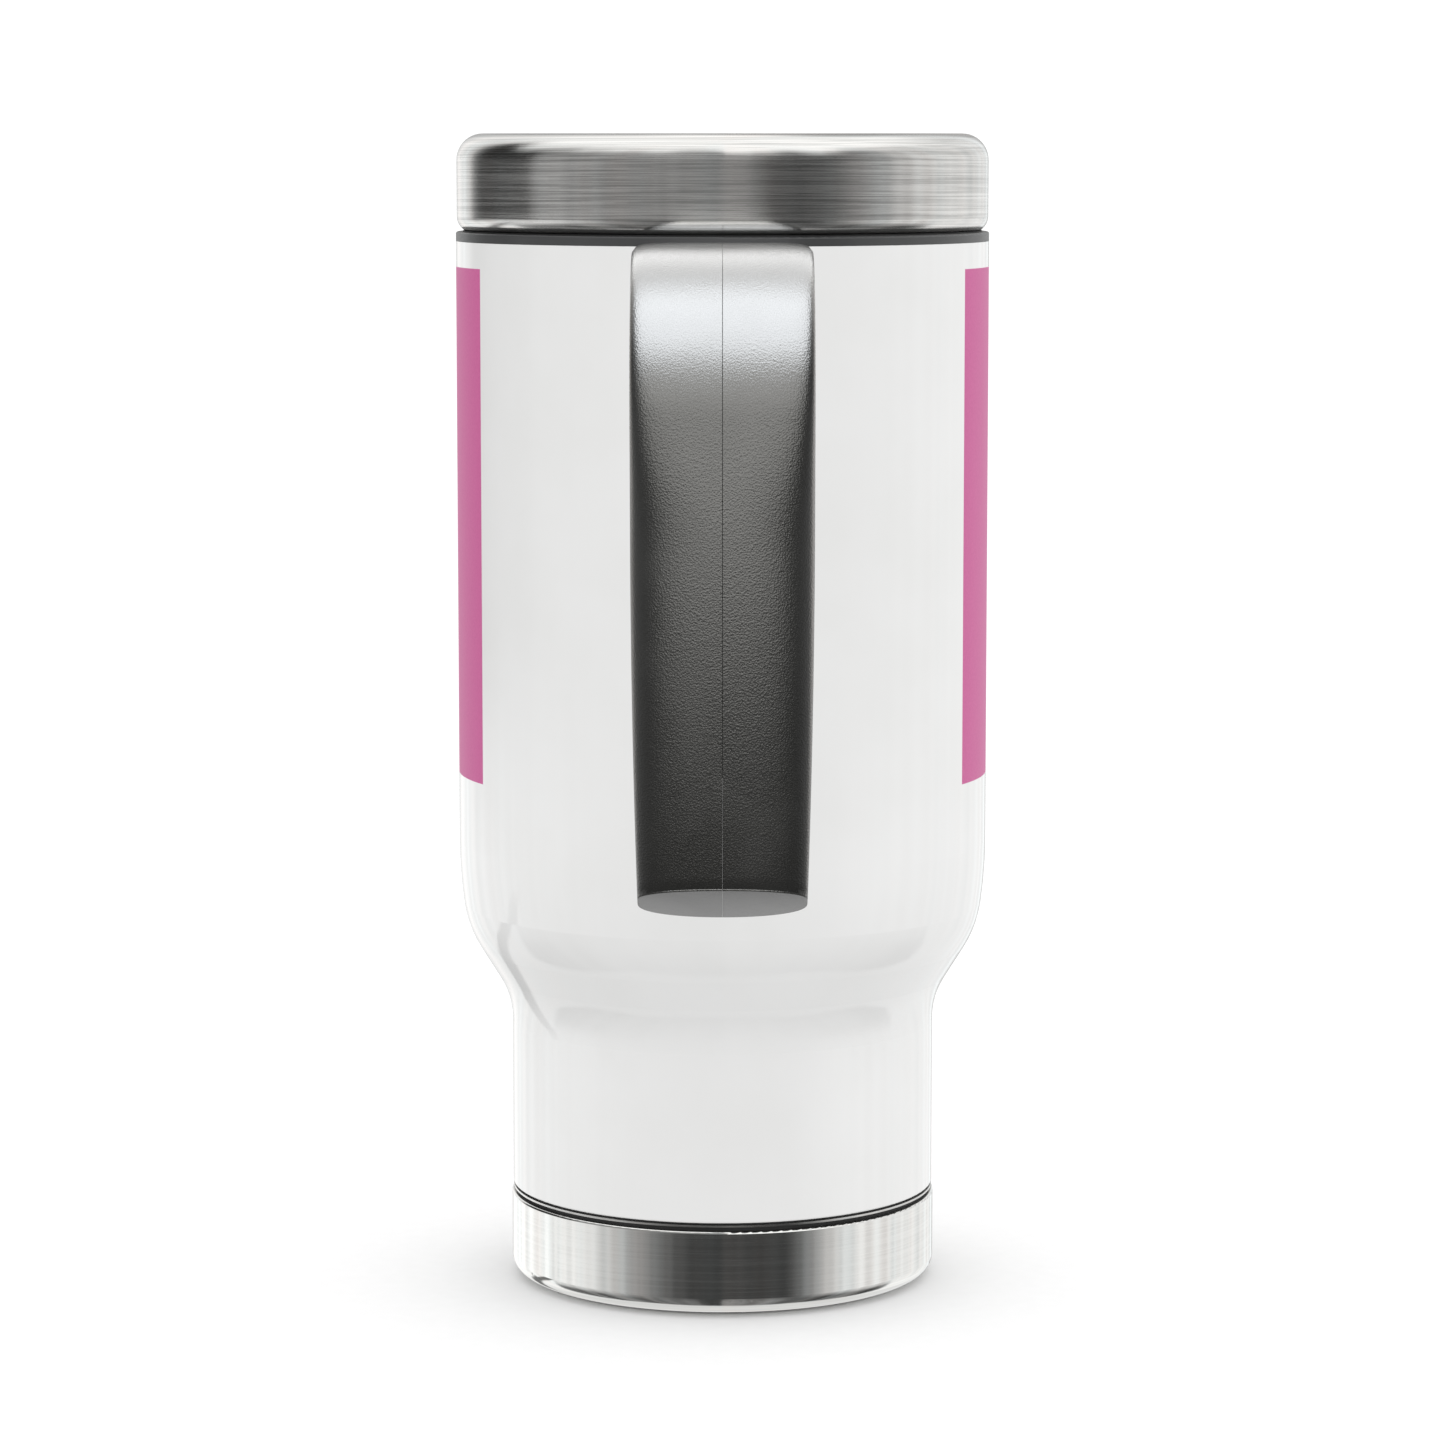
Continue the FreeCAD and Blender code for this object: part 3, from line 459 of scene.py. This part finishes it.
def handle_section(outer, inner, inset):
    """The half section at a station as (across, depth) from the outer seam round to the inner seam."""
    thick = (inner - outer).length
    fall = max(TAPER_TOP - outer.y, 0)
    half_width = HANDLE_HALF_WIDTH - TAPER_RADIUS + math.sqrt(TAPER_RADIUS ** 2 - fall ** 2)
    bend = ramp(outer.x, *BEND_REACHES)
    arm = ramp(HANDLE_TOP - outer.y, *ARM_DROPS)
    outer_crown = between(OUTER_CROWN_BEND, OUTER_CROWN_ARM, arm)
    outer_power = between(OUTER_POWER_BEND, OUTER_POWER_ARM, arm)
    inner_crown = between(INNER_CROWN_ROOT, between(INNER_CROWN_BEND, INNER_CROWN_ARM, arm), bend)
    inner_power = between(INNER_POWER_ROOT, between(INNER_POWER_BEND, INNER_POWER_ARM, arm), bend)
    outside = crowned_face(half_width, outer_crown, outer_power, inset)
    inside = crowned_face(half_width, inner_crown, inner_power, inset)
    return outside + [(across, thick - depth) for across, depth in reversed(inside)]


def make_handle_half(side, name, node):
    """One moulding: the right one where side is 1, the left one where it is -1. Its root hugs the wall."""
    *stations, end = handle_stations()
    stations = [(outer, inner, 0.0) for outer, inner in stations] + rounded_end(*end)
    shape = bmesh.new()
    rings = []
    for place, (outer, inner, inset) in enumerate(stations):
        inward = (inner - outer).normalized()
        ring = []
        for across, depth in handle_section(outer, inner, inset):
            at = outer + inward * depth
            reach = at.x if place else math.sqrt(WALL_RADIUS ** 2 - across ** 2)
            ring.append(shape.verts.new((side * across, -reach, at.y)))
        rings.append(ring)
    for first, second in zip(rings, rings[1:]):
        for place in range(len(first)):
            shape.faces.new((first[place - 1], first[place], second[place], second[place - 1]))
    shape.faces.new(rings[0])
    shape.faces.new(rings[-1])
    bmesh.ops.recalc_face_normals(shape, faces=shape.faces)
    return add_piece(name, shape, "handle_plastic", node)


handle_halves = [make_handle_half(1, "handle_shell_right", "handle_right"),
                 make_handle_half(-1, "handle_shell_left", "handle_left")]
soften("slider", "slider_plastic", 0.35 * MM)
soften("slider_retainer", "black_plastic", 0.25 * MM)

# The handle casts no soft shade on the wall behind it.
for part in (*handle_halves, NODES["handle_core"], NODES["handle_saddle"], NODES["handle_rivets"]):
    part.visible_diffuse = False


# Studio. Directions are seen from the mug, in degrees: turn goes from the camera round to the right of the
# picture, and rise goes up from level, so a softbox with a rise over 90 stands behind the mug. A pair is
# where a change starts and where it ends, or the least and the most of something.

WALL_FOOT = (-9, -5.5)
CEILING_EDGE, CEILING_WAVE, CEILING_LIGHT = (28, 50), (-8, 8), 1.5
TABLE_EDGE = (-14, -33)
TABLE_DARK = (0.06, 0.34)
PALE_BLUR = (-0.09, 0.09)
GAP_BACK, GAP_SLANT = 1.65, 0.17
GAP_BLUR = (0.30, 0.16)
GAP_EDGE, GAP_SIDE, GAP_LIGHT = (-12, -18), (-0.15, -0.35), 0.2
DOME_RISE, DOME_SIDES = (0.70, 1.30), (0.97, 1.03)
BACKDROP_LIGHT = 1.1
COOL, WARM = (0.965, 1.0, 1.005, 1), (1.01, 0.99, 0.975, 1)
NO_TINT = (1, 1, 1, 1)

SOFTBOX_DISTANCE = 1.3
HANDLE_MIDDLE = Vector((0, -0.07, 0.12))
WARM_BOX = (1.0, 0.99, 0.95)
PLAIN_BOX = (1.0, 1.0, 0.99)
COOL_BOX = (0.97, 1.0, 1.03)
AMBER_BOX = (1.0, 0.95, 0.9)
SOFTBOXES = {
    "front_softbox": {"turn": 0, "rise": 9, "width": 54, "height": 46, "radiance": 4.7, "colour": WARM_BOX},
    "top_softbox": {"turn": 0, "rise": 65, "width": 60, "height": 62, "radiance": 15, "colour": COOL_BOX},
    "back_softbox": {"turn": 0, "rise": 126, "width": 60, "height": 60, "radiance": 5.0, "colour": PLAIN_BOX},
    "low_back_softbox": {"turn": 0, "rise": 168, "width": 60, "height": 24, "radiance": 4.2,
                         "colour": PLAIN_BOX},
    "left_softbox": {"turn": -118, "rise": 20, "width": 44, "height": 70, "radiance": 1.5,
                     "colour": AMBER_BOX},
    "right_softbox": {"turn": 118, "rise": 20, "width": 44, "height": 70, "radiance": 1.9,
                      "colour": AMBER_BOX},
}

FLOOR_HALF_SIZE = 8
FLOOR_TONE = (0.90, 0.90, 0.90, 1)
FLOOR_SPECKLE = (0.91, 0.91, 0.91, 1)
SENSOR_WIDTH, FOCAL_LENGTH = 36.0, 121.2
EYE = Vector((0, -0.7398, 0.17546))
AIM = Vector((0, 0, (CAD_LOW.z + CAD_HIGH.z) / 2 - 2.1 * MM))


def add_floor():
    """A pale floor that only the camera sees, so that the studio alone lights the mug."""
    shape = bmesh.new()
    bmesh.ops.create_grid(shape, x_segments=1, y_segments=1, size=FLOOR_HALF_SIZE)
    mesh = bpy.data.meshes.new("studio_floor")
    shape.to_mesh(mesh)
    shape.free()
    floor = bpy.data.objects.new("studio_floor", mesh)
    bpy.context.scene.collection.objects.link(floor)
    material, shader = new_material("studio_floor")
    speckle = shader.span(shader.noise(400, 2), 0.3, 0.7)
    shader.surface(Base_Color=shader.blend(speckle, FLOOR_TONE, FLOOR_SPECKLE), Roughness=1.0,
                   Specular_IOR_Level=0.0)
    mesh.materials.append(material)
    floor.visible_glossy = False
    floor.visible_diffuse = False
    floor.visible_transmission = False


def stripes(shader, turn, width, low, high):
    """Upright stripes so many degrees wide, between two levels."""
    inputs = {"W": shader.math("DIVIDE", turn, width), "Scale": 1.0, "Detail": 2.0}
    noise = shader.add("ShaderNodeTexNoise", inputs, noise_dimensions="1D")
    return shader.span(noise, 0.32, 0.68, low, high)


def wall_light(shader, turn, rise):
    """Walls that are bright at the right and behind the mug, with a grey panel at the left, and a ceiling."""
    away = shader.times(turn, -1.0)
    front = shader.span(turn, -96, -86, 0.05, 0.12)
    right_wall = shader.span(turn, 40, 115, 0, 0.92)
    left_wall = shader.span(away, 128, 150, 0, 1.1)
    left_panel = shader.times(shader.span(turn, -94, -84, 0, 0.26), shader.span(turn, 5, 26, 1, 0))
    upper = shader.plus(front, right_wall, left_wall, left_panel)
    right_foot = shader.span(turn, 33, 78, 0.07, 1.1)
    left_foot = shader.span(away, 15, 105, 0, 1.25)
    walls = shader.mix(shader.span(rise, *WALL_FOOT), shader.plus(right_foot, left_foot), upper)
    uneven = stripes(shader, turn, 6, 0.86, 1.12)
    far_corner = shader.span(shader.math("ABSOLUTE", turn), 163, 174, 1, 0.45)
    ceiling = shader.span(shader.plus(rise, stripes(shader, turn, 30, *CEILING_WAVE)), *CEILING_EDGE)
    return shader.mix(ceiling, shader.times(walls, uneven, far_corner), CEILING_LIGHT)


def table_light(shader, turn, aside, back):
    """A table, dark and uneven in front and pale behind a line that runs further back at the sides."""
    line = shader.plus(shader.span(aside, 0.45, 1.25, -0.5, 0.33), shader.times(aside, 0.2))
    pale = shader.span(shader.math("SUBTRACT", back, line), *PALE_BLUR)
    return shader.mix(pale, stripes(shader, turn, 18, *TABLE_DARK), shader.span(aside, 0.5, 1.3, 0.95, 1.3))


def add_world():
    """A soft white dome, and for gloss a studio with walls, a ceiling, a table and a dark gap behind it."""
    world = bpy.data.worlds.new("studio")
    world.use_nodes = True
    world.cycles.sampling_method = "NONE"
    shader = Shader(world)
    x, y, z = shader.parts(shader.add("ShaderNodeTexCoord"))
    turn = shader.times(shader.math("ARCTAN2", x, shader.times(y, -1.0)), math.degrees(1))
    rise = shader.times(shader.math("ARCSINE", z), math.degrees(1))
    # Where a direction meets the table, sideways and away from the camera, in depths of the table.
    depth = shader.times(z, -1.0)
    aside = shader.math("DIVIDE", shader.math("ABSOLUTE", x), depth)
    back = shader.math("DIVIDE", y, depth)
    studio = shader.mix(shader.span(rise, *TABLE_EDGE), wall_light(shader, turn, rise),
                        table_light(shader, turn, aside, back))
    # The gap is a slanting line behind the table, at the left only.
    off_gap = shader.math("ABSOLUTE", shader.plus(back, shader.times(aside, GAP_SLANT), -GAP_BACK))
    gap = shader.times(shader.span(off_gap, *GAP_BLUR), shader.span(rise, *GAP_EDGE),
                       shader.span(x, *GAP_SIDE))
    studio = shader.mix(gap, studio, GAP_LIGHT)
    dome = shader.times(shader.span(z, -1, 1, *DOME_RISE), shader.span(x, -1, 1, *DOME_SIDES))
    path = shader.add("ShaderNodeLightPath").node.outputs
    strength = shader.mix(path["Is Glossy Ray"], dome, studio)
    strength = shader.mix(path["Is Camera Ray"], strength, BACKDROP_LIGHT)
    tint = shader.blend(stripes(shader, turn, 13, 0, 1), COOL, WARM)
    colour = shader.blend(path["Is Glossy Ray"], NO_TINT, tint)
    background = shader.add("ShaderNodeBackground", {"Color": colour, "Strength": strength})
    shader.finish("ShaderNodeOutputWorld", background)
    bpy.context.scene.world = world


def add_softbox(name, pieces, turn, rise, width, height, radiance, colour):
    """A softbox that only these pieces' gloss sees, so many degrees wide and high from the handle."""
    light = bpy.data.lights.new(name, "AREA")
    light.shape = "RECTANGLE"
    light.size = 2 * SOFTBOX_DISTANCE * math.tan(math.radians(width / 2))
    light.size_y = 2 * SOFTBOX_DISTANCE * math.tan(math.radians(height / 2))
    light.color = colour
    light.energy = radiance * math.pi * light.size * light.size_y
    lamp = bpy.data.objects.new(name, light)
    bpy.context.scene.collection.objects.link(lamp)
    side, angle = math.radians(turn), math.radians(rise)
    level = Vector((math.sin(side), -math.cos(side), 0))
    way = level * math.cos(angle) + Vector((0, 0, 1)) * math.sin(angle)
    lamp.location = HANDLE_MIDDLE + way * SOFTBOX_DISTANCE
    lamp.rotation_mode = "QUATERNION"
    lamp.rotation_quaternion = way.to_track_quat("Z", "Y")
    lamp.visible_camera = False
    lamp.visible_diffuse = False
    lit = bpy.data.collections.new(name + "_lit")
    for piece in pieces:
        lit.objects.link(piece)
    lamp.light_linking.receiver_collection = lit
    lamp.light_linking.blocker_collection = lit


def add_camera():
    """A view from the height of the lid's top, tipped down just enough to centre the mug."""
    data = bpy.data.cameras.new("camera")
    data.sensor_width = SENSOR_WIDTH
    data.lens = FOCAL_LENGTH
    camera = bpy.data.objects.new("camera", data)
    bpy.context.scene.collection.objects.link(camera)
    camera.location = EYE
    camera.rotation_mode = "QUATERNION"
    camera.rotation_quaternion = (AIM - EYE).to_track_quat("-Z", "Y")
    bpy.context.scene.camera = camera


add_floor()
add_world()
for name, placing in SOFTBOXES.items():
    add_softbox(name, handle_halves, **placing)
add_camera()
bpy.context.scene.view_settings.view_transform = "Standard"
